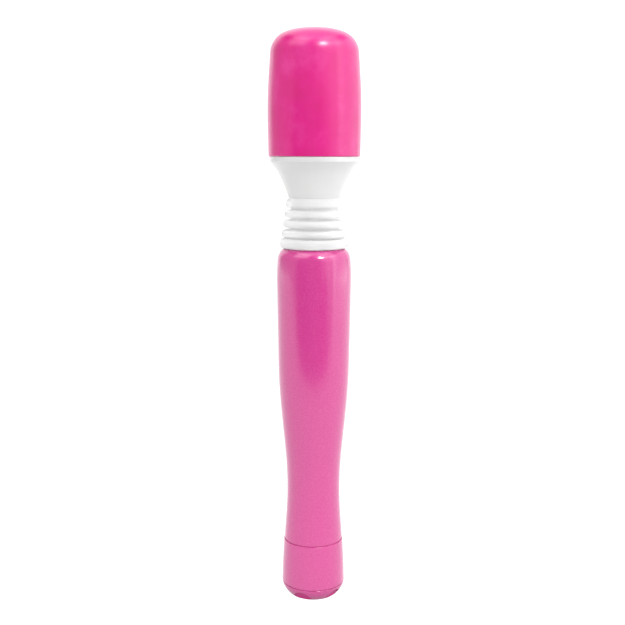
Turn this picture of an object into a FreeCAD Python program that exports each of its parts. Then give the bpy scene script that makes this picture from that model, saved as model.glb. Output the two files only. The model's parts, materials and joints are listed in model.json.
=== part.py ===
"""Small battery wand massager: soft vibrating head, sprung ribbed neck, hourglass handle with two AA cells,
screw-off end cap and a speed dial. Millimetres, +Z up, origin at the centre of the dial's flat bottom."""
import FreeCAD, Part
import math
import os
import re

import Sketcher

V = FreeCAD.Vector

SIZES = [
    # end dial
    ("dial_top", 4.72, "height of the dial's top face"),
    ("dial_radius", 11.79, "dial radius at the parting crease"),
    ("dial_knuckle_radius", 11.24, "corner of the dial's rounded side"),
    ("dial_knuckle_height", 2.43, "height of that corner"),
    ("dial_knuckle_round", 7.6, "rounding of the side"),
    ("dial_flat_radius", 8.96, "corner of side and flat bottom"),
    ("dial_edge_round", 1.12, "rounding of the bottom edge"),
    ("scallop_angle", 12.0, "turn of the first lug from straight ahead"),
    ("scallop_radius", 3.6, "radius of a finger scallop"),
    ("scallop_drop", 0.15, "scallop centre below the bottom face"),
    ("scallop_back", 9.0, "distance of a scallop's back wall from the axis"),
    ("scallop_count", 5, "finger scallops round the dial"),
    # end cap
    ("cap_bottom", 4.95, "lower face of the end cap"),
    ("cap_top", 21.65, "upper rim of the end cap"),
    ("cap_bottom_radius", 11.85, "end cap radius at its lower face"),
    ("cap_waist_radius", 11.62, "end cap radius at mid height"),
    ("cap_waist_height", 12.5, "mid height of the end cap"),
    ("cap_top_radius", 11.12, "end cap radius at its rim"),
    ("cap_floor", 1.55, "thickness of the end cap's floor"),
    ("cap_bore", 9.5, "inside radius of the end cap"),
    ("cap_edge", 0.2, "rounding of the parting edges"),
    ("insert_radius", 9.45, "outer radius of the threaded insert"),
    ("insert_bottom", 11.5, "lower end of the threaded insert"),
    ("insert_top", 29.2, "upper end of the threaded insert"),
    ("insert_bore", 7.7, "bore of the threaded insert"),
    ("board_ledge_radius", 6.6, "bore below the board's ledge"),
    ("board_bottom", 13.3, "lower face of the control board"),
    ("board_thickness", 1.2, "control board thickness"),
    ("board_radius", 7.6, "control board radius"),
    ("control_radius", 6.3, "rotary control radius"),
    ("control_neck", 2.95, "rotary control bushing radius"),
    ("control_hole", 3.1, "hole for that bushing in the end cap"),
    ("shaft_radius", 1.5, "dial shaft radius"),
    ("shaft_play", 0.05, "running clearance of the turning shafts"),
    ("shaft_bottom", 1.6, "lower end of the dial shaft"),
    ("shaft_top", 11.0, "upper end of the dial shaft"),
    # screw thread between end cap and handle
    ("thread_pitch", 2.5, "rise of the thread in one turn"),
    ("thread_turns", 2, "turns of each thread ridge"),
    ("thread_core", 8.25, "core radius of the insert's spigot"),
    ("thread_crest", 9.0, "crest radius of the insert's ridge"),
    ("thread_start", 23.4, "height where the insert's ridge starts"),
    ("thread_root_width", 1.1, "ridge width at its root"),
    ("thread_crest_width", 0.7, "ridge width at its crest"),
    ("socket_radius", 9.4, "radius of the handle's lower socket"),
    ("socket_crest", 8.68, "crest radius of the handle's ridge"),
    ("socket_top", 29.4, "upper end of the handle's lower socket"),
    ("ridge_root", 0.15, "depth that a ridge's root sinks into its wall"),
    ("seal_radius", 8.83, "centre radius of the sealing ring"),
    ("seal_section", 0.52, "section radius of the sealing ring"),
    ("seal_height", 22.2, "height of the sealing ring"),
    # handle
    ("handle_bottom", 21.95, "lower face of the handle"),
    ("handle_top", 132.4, "upper face of the handle"),
    ("handle_bottom_radius", 10.95, "handle radius at its lower face"),
    ("waist_radius", 9.39, "corner of the handle's waist"),
    ("waist_height", 44.0, "height of that corner"),
    ("waist_round", 146.5, "rounding of the waist"),
    ("belly_radius", 12.99, "corner where the handle's swell starts"),
    ("belly_height", 80.7, "height of that corner"),
    ("belly_round", 236, "rounding there"),
    ("swell_radius", 13.69, "corner of the handle's widest part"),
    ("swell_height", 124.0, "height of that corner"),
    ("swell_round", 93, "rounding there"),
    ("shoulder_radius", 13.14, "corner of the handle's shoulder"),
    ("shoulder_height", 131.0, "height of that corner"),
    ("shoulder_round", 5.2, "rounding of the shoulder"),
    ("handle_top_radius", 10.95, "handle radius at its upper face"),
    ("waist_bore", 8.3, "handle bore through the waist"),
    ("waist_bore_top", 56, "height where that bore starts to widen"),
    ("mouth_bore", 10.2, "handle bore at its mouth"),
    ("mouth_bore_bottom", 100, "height where the mouth bore starts"),
    # battery compartment
    ("cell_radius", 7.25, "AA cell radius"),
    ("cell_length", 50.5, "AA cell length with its button"),
    ("button_radius", 2.75, "radius of a cell's button"),
    ("button_length", 1.0, "height of a cell's button"),
    ("cell_round", 0.6, "rounding of a cell's ends"),
    ("cell_start", 27.0, "height of the lower cell's flat end"),
    ("tube_inner", 7.45, "bore of the battery tube"),
    ("tube_outer", 8.25, "outer radius of the battery tube"),
    ("tube_bottom", 30.2, "lower end of the battery tube"),
    ("tube_top", 127.0, "upper end of the battery tube"),
    ("groove_floor", 7.8, "floor radius of the strip's groove"),
    ("groove_angle", 32, "angle that the groove spans"),
    ("strip_inner", 7.85, "inner radius of the return strip"),
    ("strip_outer", 8.15, "outer radius of the return strip"),
    ("strip_angle", 28, "angle that the return strip spans"),
    ("strip_bottom", 29.62, "lower end of the return strip"),
    ("strip_top", 129.3, "upper end of the return strip"),
    ("contact_ring_height", 0.35, "thickness of the contact ring"),
    ("contact_leg_inner", 7.35, "inner radius of the contact ring's leg"),
    ("contact_leg_outer", 7.65, "outer radius of that leg"),
    ("contact_ring_outer", 8.2, "outer radius of the contact ring"),
    ("spring_wire", 0.4, "wire radius of the battery spring"),
    ("spring_radius", 4.4, "coil radius of the battery spring"),
    ("spring_turns", 5, "turns of the battery spring"),
    ("contact_radius", 2.6, "radius of the positive contact cup"),
    ("contact_wall", 0.3, "wall of the positive contact cup"),
    # neck
    ("base_bottom", 124.0, "lower end of the neck base"),
    ("base_plug", 10.1, "radius of the neck base in the handle's mouth"),
    ("base_skirt", 8.3, "bore of the neck base's skirt"),
    ("base_ceiling", 130.0, "under face of the neck base's floor"),
    ("base_flange_radius", 11.2, "flange that rests on the handle"),
    ("base_flange", 0.8, "thickness of that flange"),
    ("boss_radius", 7.15, "outer radius of both spring cups"),
    ("boss_bore", 6.35, "bore of both spring cups"),
    ("lower_seat", 131.1, "floor of the lower spring cup"),
    ("lower_boss_top", 135.6, "rim of the lower spring cup"),
    ("upper_boss_bottom", 147.0, "rim of the upper spring cup"),
    ("upper_seat", 153.1, "floor of the upper spring cup"),
    ("lead_radius", 0.55, "radius of a motor lead"),
    ("lead_hole", 0.65, "radius of a lead's hole"),
    ("lead_hole_positive", 1.4, "offset of the positive lead's hole"),
    ("lead_hole_negative", 3.9, "offset of the negative lead's hole"),
    ("lead_neck_offset", 2.4, "offset of the leads in the neck"),
    ("lead_motor_offset", 6.3, "offset of the leads at the motor"),
    ("neck_spring_wire", 0.7, "wire radius of the neck spring"),
    ("neck_spring_radius", 5.5, "coil radius of the neck spring"),
    ("neck_spring_turns", 8, "turns of the neck spring"),
    ("bellows_bottom", 132.5, "lower edge of the bellows"),
    ("bellows_top", 150.15, "upper edge of the bellows"),
    ("bellows_bore", 7.35, "bore of the bellows"),
    ("bellows_valley", 8.55, "radius of the valleys between the ribs"),
    ("bellows_foot_bore", 11.3, "pocket over the neck base's flange"),
    ("bellows_foot_depth", 133.3, "top of that pocket"),
    ("foot_rib_radius", 12.44, "radius of the lowest rib"),
    ("foot_rib_top", 135.9, "upper face of the lowest rib"),
    ("rib_first_radius", 11.84, "radius of the next rib"),
    ("rib_last_radius", 10.35, "radius of the highest rib"),
    ("rib_first_height", 137.65, "height of the next rib's middle"),
    ("rib_last_height", 148.3, "height of the highest rib's middle"),
    ("rib_thickness", 2.6, "thickness of a rib"),
    ("rib_round", 1.2, "rounding of a rib's edges"),
    ("foot_rib_round", 1.1, "rounding of the lowest rib's edges"),
    ("bellows_top_radius", 9.1, "radius of the bellows' upper edge"),
    ("rib_count", 4, "ribs above the lowest one"),
    # head
    ("cup_bottom", 150.25, "lower face of the white cone"),
    ("cup_bottom_radius", 9.24, "cone radius at its lower face"),
    ("cup_throat_radius", 10.55, "corner of the cone's throat"),
    ("cup_throat_height", 154.15, "height of that corner"),
    ("cup_throat_round", 14.8, "rounding of the throat"),
    ("cup_flare_radius", 13.42, "corner of the cone's flare"),
    ("cup_flare_height", 160.5, "height of that corner"),
    ("cup_flare_round", 14.9, "rounding of the flare"),
    ("lip_radius", 16.25, "radius of the cone's lip"),
    ("lip_bottom", 163.45, "lower edge of the lip"),
    ("lip_round", 0.4, "rounding of the lip's lower edge"),
    ("lip_top", 165.2, "upper face of the lip"),
    ("spigot_radius", 12.75, "spigot of the cone inside the head shell"),
    ("spigot_bore", 11.4, "bore of that spigot"),
    ("spigot_top", 170.0, "upper end of that spigot"),
    ("cup_floor", 1.3, "thickness of the upper spring cup's floor"),
    ("cup_hole", 4.5, "hole for the leads in that floor"),
    ("cup_inner_radius", 8.3, "inner radius above that floor"),
    ("cup_inner_height", 161.5, "height where the spigot's bore starts"),
    ("shell_radius", 14.35, "outer radius of the head shell"),
    ("shell_bore", 12.85, "bore of the head shell"),
    ("shell_top", 207.1, "top of the head shell"),
    ("shell_wall", 1.5, "wall of the head shell"),
    ("shell_round", 5.5, "rounding of the head shell's crown"),
    ("shell_bottom", 165.25, "lower edge of the head shell"),
    ("soft_gap", 0.05, "gap between head shell and soft cap"),
    ("soft_bottom", 165.3, "lower edge of the soft cap"),
    ("soft_bottom_radius", 16.55, "soft cap radius at its lower edge"),
    ("soft_edge", 0.5, "rounding of that edge"),
    ("soft_belly_radius", 16.88, "corner of the soft cap's side"),
    ("soft_belly_height", 184.8, "height of that corner"),
    ("soft_belly_round", 186, "rounding of the side"),
    ("soft_shoulder_radius", 15.45, "corner of the soft cap's shoulder"),
    ("soft_shoulder_height", 206.5, "height of that corner"),
    ("soft_shoulder_round", 7.9, "rounding of the shoulder"),
    ("soft_crown_radius", 7.6, "corner of the soft cap's crown"),
    ("soft_crown_height", 209.62, "height of that corner"),
    ("soft_crown_round", 17.6, "rounding of the crown"),
    ("soft_top", 209.7, "top of the soft cap"),
    # motor
    ("motor_bottom", 170.5, "lower face of the motor"),
    ("bell_top", 175.5, "upper face of the motor's end bell"),
    ("motor_top", 195.6, "upper face of the motor can"),
    ("motor_radius", 10.05, "motor radius"),
    ("motor_flats", 15.1, "distance across the motor's flats"),
    ("can_wall", 0.8, "wall of the motor can"),
    ("bell_wall", 1.2, "wall of the end bell"),
    ("bushing_radius", 3.05, "radius of the motor's bearing bushes"),
    ("bushing_top", 197.1, "upper face of the front bush"),
    ("bushing_length", 2.6, "length of a bush"),
    ("rear_bush_bottom", 171.1, "lower face of the rear bearing pocket"),
    ("motor_shaft_radius", 1.0, "motor shaft radius"),
    ("motor_play", 0.03, "running clearance of the motor shaft"),
    ("motor_shaft_bottom", 171.4, "lower end of the motor shaft"),
    ("motor_shaft_top", 204.2, "upper end of the motor shaft"),
    ("magnet_inner", 6.7, "inner radius of the magnets"),
    ("magnet_angle", 86, "angle that each magnet spans"),
    ("magnet_bottom", 177.5, "lower end of the magnets"),
    ("magnet_length", 15.5, "length of the magnets"),
    ("core_radius", 6.3, "armature core radius"),
    ("core_bottom", 181.0, "lower face of the armature core"),
    ("core_length", 9.0, "length of the armature core"),
    ("pole_count", 3, "poles of the armature"),
    ("slot_width", 3.4, "width of a winding slot"),
    ("slot_floor", 2.3, "distance of a slot's floor from the axis"),
    ("winding_width", 3.2, "width of a winding"),
    ("winding_inner", 2.4, "distance of a winding's inner face from the axis"),
    ("winding_outer", 5.6, "distance of a winding's outer face from the axis"),
    ("winding_overhang", 1.2, "overhang of the windings at both ends"),
    ("commutator_radius", 2.2, "commutator radius"),
    ("commutator_bottom", 175.9, "lower face of the commutator"),
    ("commutator_length", 3.4, "length of the commutator"),
    ("terminal_offset", 5.31, "distance of a terminal from the axis"),
    ("terminal_thickness", 0.4, "thickness of a terminal"),
    ("terminal_width", 2.0, "width of a terminal"),
    ("terminal_length", 3.3, "length of a terminal"),
    ("brush_gap", 0.05, "running clearance between brush and commutator"),
    ("brush_thickness", 0.25, "thickness of a brush leaf"),
    ("brush_width", 1.6, "width of a brush leaf"),
    ("brush_top", 178.6, "upper end of the brush leaves"),
    ("mount_radius", 12.8, "outer radius of the rubber motor mount"),
    ("mount_gap", 0.05, "gap between motor and mount"),
    ("mount_bottom", 174.0, "lower end of the motor mount"),
    ("mount_length", 19.0, "length of the motor mount"),
    ("weight_bottom", 197.8, "lower face of the eccentric weight"),
    ("weight_length", 5.6, "length of the eccentric weight"),
    ("weight_radius", 9.0, "radius of the eccentric weight"),
    ("weight_hub", 2.6, "hub radius of the eccentric weight"),
]
ALIASES = {alias for alias, number, meaning in SIZES}

doc = FreeCAD.newDocument("wand_massager")


def fill_sheet():
    """The spreadsheet of driving dimensions: name, number, meaning."""
    made = doc.addObject("Spreadsheet::Sheet", "Sizes")
    for row, (alias, number, meaning) in enumerate(SIZES, start=1):
        made.set(f"A{row}", alias)
        made.set(f"B{row}", str(number))
        made.setAlias(f"B{row}", alias)
        made.set(f"C{row}", meaning)
    doc.recompute()
    return made


sheet = fill_sheet()


def linked(text):
    """The text of a formula with each alias pointing at the sheet."""
    return re.sub(r"[a-z][a-z_]*", lambda word: "Sizes." + word[0] if word[0] in ALIASES else word[0], text)


def number(text):
    """What a formula comes to now."""
    return float(sheet.evalExpression(linked(text)))


def bind(thing, **formulas):
    """Binds properties of a document object to formulas of the sheet."""
    for name, text in formulas.items():
        thing.setExpression(name.replace("__", "."), linked(text))
    return thing


def origin_plane(body, role):
    """One of a body's own origin planes or axes."""
    return next(item for item in body.Origin.OriginFeatures if item.Role == role)


def tangent_points(before, corner, after, radius):
    """Where an arc of this radius leaves the two sides of a corner, and its centre."""
    into = (before - corner).normalize()
    out = (after - corner).normalize()
    half = into.getAngle(out) / 2
    reach = radius / math.tan(half)
    middle = (into + out).normalize()
    return corner + into * reach, corner + out * reach, corner + middle * (radius / math.sin(half))


def place_corner(sketch, geometry, end, corner):
    """Fixes a point of the sketch at a corner's two formulas."""
    for kind, axis, text in (("DistanceX", -2, corner[0]), ("DistanceY", -1, corner[1])):
        size = number(text)
        if size == 0:
            sketch.addConstraint(Sketcher.Constraint("PointOnObject", geometry, end, axis))
            continue
        index = sketch.addConstraint(Sketcher.Constraint(kind, -1, 1, geometry, end, size))
        sketch.setExpression(f"Constraints[{index}]", linked(text))


def outline_sketch(body, name, corners, role="XZ_Plane"):
    """A closed outline through corners given as formulas: (x, y) is sharp, (x, y, radius) is rounded."""
    sketch = body.newObject("Sketcher::SketchObject", name)
    sketch.AttachmentSupport = [(origin_plane(body, role), "")]
    sketch.MapMode = "FlatFace"
    spots = [V(number(c[0]), number(c[1]), 0) for c in corners]
    starts, ends, arcs = [], [], {}
    for i, corner in enumerate(corners):
        if len(corner) == 3:
            after = spots[(i + 1) % len(spots)]
            first, last, centre = tangent_points(spots[i - 1], spots[i], after, number(corner[2]))
            arcs[i] = (first, last, centre)
        else:
            first = last = spots[i]
        ends.append(first)
        starts.append(last)
    for i in range(len(corners)):
        sketch.addGeometry(Part.LineSegment(starts[i], ends[(i + 1) % len(corners)]))
    for i, corner in enumerate(corners):
        line_in = (i - 1) % len(corners)
        if i not in arcs:
            sketch.addConstraint(Sketcher.Constraint("Coincident", line_in, 2, i, 1))
            place_corner(sketch, i, 1, corner)
            continue
        first, last, centre = arcs[i]
        turn = (spots[i] - spots[i - 1]).cross(starts[i] - spots[i]).z
        angles = [math.atan2((p - centre).y, (p - centre).x) for p in (first, last)]
        if turn < 0:
            angles.reverse()
        circle = Part.Circle(centre, V(0, 0, 1), number(corner[2]))
        arc = sketch.addGeometry(Part.ArcOfCircle(circle, *angles))
        entry, leave = (1, 2) if turn > 0 else (2, 1)
        sketch.addConstraint(Sketcher.Constraint("Tangent", line_in, 2, arc, entry))
        sketch.addConstraint(Sketcher.Constraint("Tangent", arc, leave, i, 1))
        index = sketch.addConstraint(Sketcher.Constraint("Radius", arc, number(corner[2])))
        sketch.setExpression(f"Constraints[{index}]", linked(corner[2]))
        mark = sketch.addGeometry(Part.Point(spots[i]), True)
        sketch.addConstraint(Sketcher.Constraint("PointOnObject", mark, 1, line_in))
        sketch.addConstraint(Sketcher.Constraint("PointOnObject", mark, 1, i))
        place_corner(sketch, mark, 1, corner)
    return sketch


def turned(body, name, corners, angle="360", kind="PartDesign::Revolution"):
    """Turns an outline in the XZ plane about Z, adding to the body or, as a Groove, cutting it."""
    sketch = outline_sketch(body, name + "_outline", corners)
    feature = body.newObject(kind, name)
    feature.Profile = sketch
    feature.ReferenceAxis = (sketch, ["V_Axis"])
    feature.Midplane = angle != "360"
    bind(feature, Angle=angle)
    return feature


def turned_piece(label, corners, angle="360"):
    """A sub-part made of one turned outline."""
    body = doc.addObject("PartDesign::Body", label)
    turned(body, label + "_turn", corners, angle)
    return body


def ring(inner, outer, bottom, top):
    """The rectangle that turns into a plain ring."""
    return [(inner, bottom), (outer, bottom), (outer, top), (inner, top)]


def cylinder(name, radius, bottom, length, angle="360"):
    """A Part cylinder about Z."""
    made = doc.addObject("Part::Cylinder", name)
    return bind(made, Radius=radius, Height=length, Angle=angle, Placement__Base__z=bottom)


def block(name, low, size):
    """A Part box from its lowest corner and its three sizes, all formulas."""
    made = doc.addObject("Part::Box", name)
    bind(made, Length=size[0], Width=size[1], Height=size[2])
    return bind(made, Placement__Base__x=low[0], Placement__Base__y=low[1], Placement__Base__z=low[2])


def cut(label, base, tool):
    """Base minus tool."""
    made = doc.addObject("Part::Cut", label)
    made.Base = base
    made.Tool = tool
    return made


def gathered(label, shapes, kind="Part::MultiFuse"):
    """Several objects fused, or with Part::MultiCommon what they share."""
    made = doc.addObject(kind, label)
    made.Shapes = shapes
    return made


def circle_sketch(body, name, across, up, radius):
    """A circle in the XZ plane, its centre and radius given as formulas."""
    sketch = body.newObject("Sketcher::SketchObject", name)
    sketch.AttachmentSupport = [(origin_plane(body, "XZ_Plane"), "")]
    sketch.MapMode = "FlatFace"
    centre = V(number(across), number(up), 0)
    sketch.addGeometry(Part.Circle(centre, V(0, 0, 1), number(radius)))
    place_corner(sketch, 0, 3, (across, up))
    index = sketch.addConstraint(Sketcher.Constraint("Radius", 0, number(radius)))
    sketch.setExpression(f"Constraints[{index}]", linked(radius))
    return sketch


def coil(label, radius, turns, bottom, top, wire):
    """A round-wire spring about Z between two heights."""
    rise = f"(({top}) - ({bottom}) - 2 * {wire})"
    body = doc.addObject("PartDesign::Body", label)
    sketch = circle_sketch(body, label + "_section", radius, f"({bottom}) + {wire}", wire)
    winding = body.newObject("PartDesign::AdditiveHelix", label + "_winding")
    winding.Profile = sketch
    winding.ReferenceAxis = (sketch, ["V_Axis"])
    winding.Mode = "pitch-turns-angle"
    bind(winding, Pitch=f"{rise} / {turns}", Turns=turns)
    return body


def add_thread_ridge(body, name, wall, crest, start):
    """Winds a ridge up a body's wall from a height, its root a little inside the wall."""
    root = f"{wall} - ridge_root" if number(crest) > number(wall) else f"{wall} + ridge_root"
    low, high = "thread_root_width / 2", "thread_crest_width / 2"
    sketch = outline_sketch(body, name + "_outline", [
        (root, f"{start} - {low}"),
        (crest, f"{start} - {high}"),
        (crest, f"{start} + {high}"),
        (root, f"{start} + {low}"),
    ])
    ridge = body.newObject("PartDesign::AdditiveHelix", name)
    ridge.Profile = sketch
    ridge.ReferenceAxis = (sketch, ["V_Axis"])
    ridge.Mode = "pitch-turns-angle"
    bind(ridge, Pitch="thread_pitch", Turns="thread_turns")
    return ridge


def speed_dial():
    """The end dial: a rounded disc with finger scallops cut into its lower side and a socket for its shaft."""
    body = turned_piece("speed_dial", [
        ("0", "0"),
        ("dial_flat_radius", "0", "dial_edge_round"),
        ("dial_knuckle_radius", "dial_knuckle_height", "dial_knuckle_round"),
        ("dial_radius", "dial_top", "cap_edge"),
        ("shaft_radius", "dial_top"),
        ("shaft_radius", "shaft_bottom"),
        ("0", "shaft_bottom"),
    ])
    doc.recompute()
    whole = body.Shape.Volume
    sketch = circle_sketch(body, "scallop_outline", "0", "-scallop_drop", "scallop_radius")
    bind(sketch, AttachmentOffset__Base__z="scallop_back")
    scallop = body.newObject("PartDesign::Pocket", "scallop")
    scallop.Profile = sketch
    scallop.Reversed = True
    bind(scallop, Length="dial_radius")
    doc.recompute()
    pattern = body.newObject("PartDesign::PolarPattern", "scallops")
    pattern.Originals = [scallop]
    pattern.Axis = (origin_plane(body, "Z_Axis"), [""])
    pattern.Angle = 360
    bind(pattern, Occurrences="scallop_count")
    body.Tip = pattern
    doc.recompute()
    lost = whole - body.Shape.Volume
    print("scallops take", round(lost, 2), "of", round(whole, 2), "mm3")
    assert lost > 50, "the scallops cut nothing"
    body.Placement = FreeCAD.Placement(V(), FreeCAD.Rotation(V(0, 0, 1), number("scallop_angle - 90 + 180 / scallop_count")))
    return body


def dial_pieces():
    """What turns with the dial."""
    shaft = turned_piece("control_shaft", ring("0", "shaft_radius", "shaft_bottom", "shaft_top"))
    return [speed_dial(), shaft]


def cap_shell():
    """The painted outer end cap, open at the top, with the rotary control's hole in its floor."""
    return turned_piece("cap_shell", [
        ("control_hole", "cap_bottom"),
        ("cap_bottom_radius", "cap_bottom", "cap_edge"),
        ("cap_waist_radius", "cap_waist_height", "8 * cap_waist_radius"),
        ("cap_top_radius", "cap_top", "cap_edge"),
        ("cap_bore", "cap_top"),
        ("cap_bore", "cap_bottom + cap_floor"),
        ("control_hole", "cap_bottom + cap_floor"),
    ])


def cap_insert():
    """The threaded collar glued in the end cap: ledge for the board, spigot with a screw ridge."""
    collar = turned_piece("cap_insert", [
        ("board_ledge_radius", "insert_bottom"),
        ("insert_radius", "insert_bottom"),
        ("insert_radius", "cap_top - cap_edge"),
        ("thread_core", "cap_top - cap_edge"),
        ("thread_core", "insert_top"),
        ("insert_bore", "insert_top"),
        ("insert_bore", "board_bottom"),
        ("board_ledge_radius", "board_bottom"),
    ])
    add_thread_ridge(collar, "cap_ridge", "thread_core", "thread_crest", "thread_start")
    return collar


def contact_ring():
    """The brass ring on the spigot with a leg down to the control board."""
    body = turned_piece("contact_ring",
                        ring("contact_leg_inner", "contact_ring_outer", "insert_top",
                             "insert_top + contact_ring_height"))
    leg_bottom = "board_bottom + board_thickness"
    turned(body, "contact_leg", ring("contact_leg_inner", "contact_leg_outer", leg_bottom, "insert_top"),
           "strip_angle")
    return body


def cap_pieces():
    """What turns with the end cap."""
    top = "board_bottom + board_thickness"
    board = turned_piece("control_board", ring("0", "board_radius", "board_bottom", top))
    control = turned_piece("speed_control", [
        ("shaft_radius + shaft_play", "cap_bottom"),
        ("control_neck", "cap_bottom"),
        ("control_neck", "cap_bottom + cap_floor"),
        ("control_radius", "cap_bottom + cap_floor"),
        ("control_radius", "board_bottom"),
        ("0", "board_bottom"),
        ("0", "shaft_top + 2 * shaft_play"),
        ("shaft_radius + shaft_play", "shaft_top + 2 * shaft_play"),
    ])
    spring = coil("battery_spring", "spring_radius", "spring_turns", top, "cell_start - shaft_play",
                  "spring_wire")
    return [cap_shell(), cap_insert(), contact_ring(), board, control, spring]


def seal_ring():
    """The rubber ring at the spigot's foot."""
    made = doc.addObject("Part::Torus", "seal_ring")
    return bind(made, Radius1="seal_radius", Radius2="seal_section", Placement__Base__z="seal_height")


def handle_shell():
    """The one-piece hourglass handle, open at both ends, with a screw ridge in its lower socket."""
    tube = turned_piece("handle_shell", [
        ("socket_radius", "handle_bottom"),
        ("handle_bottom_radius", "handle_bottom", "cap_edge"),
        ("waist_radius", "waist_height", "waist_round"),
        ("belly_radius", "belly_height", "belly_round"),
        ("swell_radius", "swell_height", "swell_round"),
        ("shoulder_radius", "shoulder_height", "shoulder_round"),
        ("handle_top_radius", "handle_top"),
        ("mouth_bore", "handle_top"),
        ("mouth_bore", "mouth_bore_bottom"),
        ("waist_bore", "waist_bore_top"),
        ("waist_bore", "socket_top + socket_radius - waist_bore"),
        ("socket_radius", "socket_top"),
    ])
    add_thread_ridge(tube, "socket_ridge", "socket_radius", "socket_crest", "thread_start + thread_pitch / 2")
    return tube


def cell(label, bottom):
    """An AA cell, its button up."""
    rim = f"{bottom} + cell_length - button_length"
    return turned_piece(label, [
        ("0", bottom),
        ("cell_radius", bottom, "cell_round"),
        ("cell_radius", rim, "cell_round"),
        ("button_radius", rim),
        ("button_radius", f"{bottom} + cell_length"),
        ("0", f"{bottom} + cell_length"),
    ])


def battery_tube():
    """The liner round the cells, with a groove for the return strip on the -X side."""
    body = turned_piece("battery_tube", ring("tube_inner", "tube_outer", "tube_bottom", "tube_top"))
    turned(body, "strip_groove", ring("groove_floor", "tube_outer + cap_edge", "tube_bottom - cap_edge",
                                      "tube_top + cap_edge"), "groove_angle", "PartDesign::Groove")
    body.Placement = FreeCAD.Placement(V(), FreeCAD.Rotation(V(0, 0, 1), 180))
    return body


def neck_base():
    """The plug in the handle's mouth: skirt round the battery tube, flange, spring cup and two lead holes."""
    body = turned_piece("neck_plug", [
        ("0", "base_ceiling"),
        ("base_skirt", "base_ceiling"),
        ("base_skirt", "base_bottom"),
        ("base_plug", "base_bottom"),
        ("base_plug", "handle_top"),
        ("base_flange_radius", "handle_top"),
        ("base_flange_radius", "handle_top + base_flange"),
        ("boss_radius", "handle_top + base_flange"),
        ("boss_radius", "lower_boss_top"),
        ("boss_bore", "lower_boss_top"),
        ("boss_bore", "lower_seat"),
        ("0", "lower_seat"),
    ])
    holes = []
    for name, offset in (("positive", "lead_hole_positive"), ("negative", "-lead_hole_negative")):
        hole = cylinder(f"{name}_lead_hole", "lead_hole", "base_bottom", "lower_boss_top - base_bottom")
        holes.append(bind(hole, Placement__Base__x=offset))
    return cut("neck_base", body, gathered("lead_holes", holes))


def positive_contact():
    """A small brass cup under the neck base that meets the upper cell's button."""
    foot = "cell_start + 2 * cell_length"
    return turned_piece("positive_contact", [
        ("0", foot),
        ("contact_radius", foot),
        ("contact_radius", "base_ceiling"),
        ("contact_radius - contact_wall", "base_ceiling"),
        ("contact_radius - contact_wall", f"{foot} + contact_wall"),
        ("0", f"{foot} + contact_wall"),
    ])


def return_strip():
    """The brass strip that brings the cells' flat end back up the handle."""
    body = turned_piece("return_strip", ring("strip_inner", "strip_outer", "strip_bottom", "strip_top"),
                        "strip_angle")
    body.Placement = FreeCAD.Placement(V(), FreeCAD.Rotation(V(0, 0, 1), 180))
    return body


def handle_pieces():
    """What stays with the handle."""
    cells = [cell("battery_lower", "cell_start"), cell("battery_upper", "cell_start + cell_length")]
    return [handle_shell(), battery_tube(), neck_base(), positive_contact(), return_strip()] + cells


def neck_bellows():
    """The soft ribbed sleeve: a thick lowest rib over the neck base's flange, then evenly tapering ribs."""
    corners = [
        ("bellows_foot_bore", "bellows_bottom"),
        ("foot_rib_radius", "bellows_bottom", "foot_rib_round"),
        ("foot_rib_radius", "foot_rib_top", "foot_rib_round"),
    ]
    valley = "foot_rib_top"
    for i in range(int(number("rib_count"))):
        share = f"{i} / (rib_count - 1)"
        middle = f"rib_first_height + (rib_last_height - rib_first_height) * {share}"
        radius = f"rib_first_radius + (rib_last_radius - rib_first_radius) * {share}"
        low, high = f"{middle} - rib_thickness / 2", f"{middle} + rib_thickness / 2"
        corners += [
            ("bellows_valley", valley),
            ("bellows_valley", low),
            (radius, low, "rib_round"),
            (radius, high, "rib_round"),
        ]
        valley = high
    corners += [
        ("bellows_top_radius", "bellows_top"),
        ("bellows_bore", "bellows_top"),
        ("bellows_bore", "bellows_foot_depth"),
        ("bellows_foot_bore", "bellows_foot_depth"),
    ]
    return turned_piece("neck_bellows", corners)


def rounded_path(points):
    """Straight runs joined by tangent arcs, each as large as its two runs allow."""
    edges, last = [], points[0]
    for before, corner, after in zip(points, points[1:], points[2:]):
        run = min((corner - before).Length, (after - corner).Length)
        half_turn = (corner - before).getAngle(after - corner) / 2
        radius = 0.45 * run / math.tan(half_turn)
        first, end, centre = tangent_points(before, corner, after, radius)
        middle = centre + (corner - centre).normalize() * radius
        edges += [Part.LineSegment(last, first).toShape(), Part.Arc(first, middle, end).toShape()]
        last = end
        print("lead arc radius", round(radius, 2))
    edges.append(Part.LineSegment(last, points[-1]).toShape())
    return Part.Wire(edges)


def lead(label, side, points):
    """A motor lead along a route of (offset, height) points in the XZ plane, all formulas."""
    route = rounded_path([V(side * number(x), 0, number(z)) for x, z in points])
    start = route.Edges[0]
    disc = Part.Circle(start.Vertexes[0].Point, start.tangentAt(start.FirstParameter), number("lead_radius"))
    solid = route.makePipeShell([Part.Wire(disc.toShape())], True, True)
    print(label, "volume over section times length",
          round(solid.Volume / (math.pi * number("lead_radius") ** 2 * route.Length), 4))
    made = doc.addObject("Part::Feature", label)
    made.Shape = solid
    return made


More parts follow.
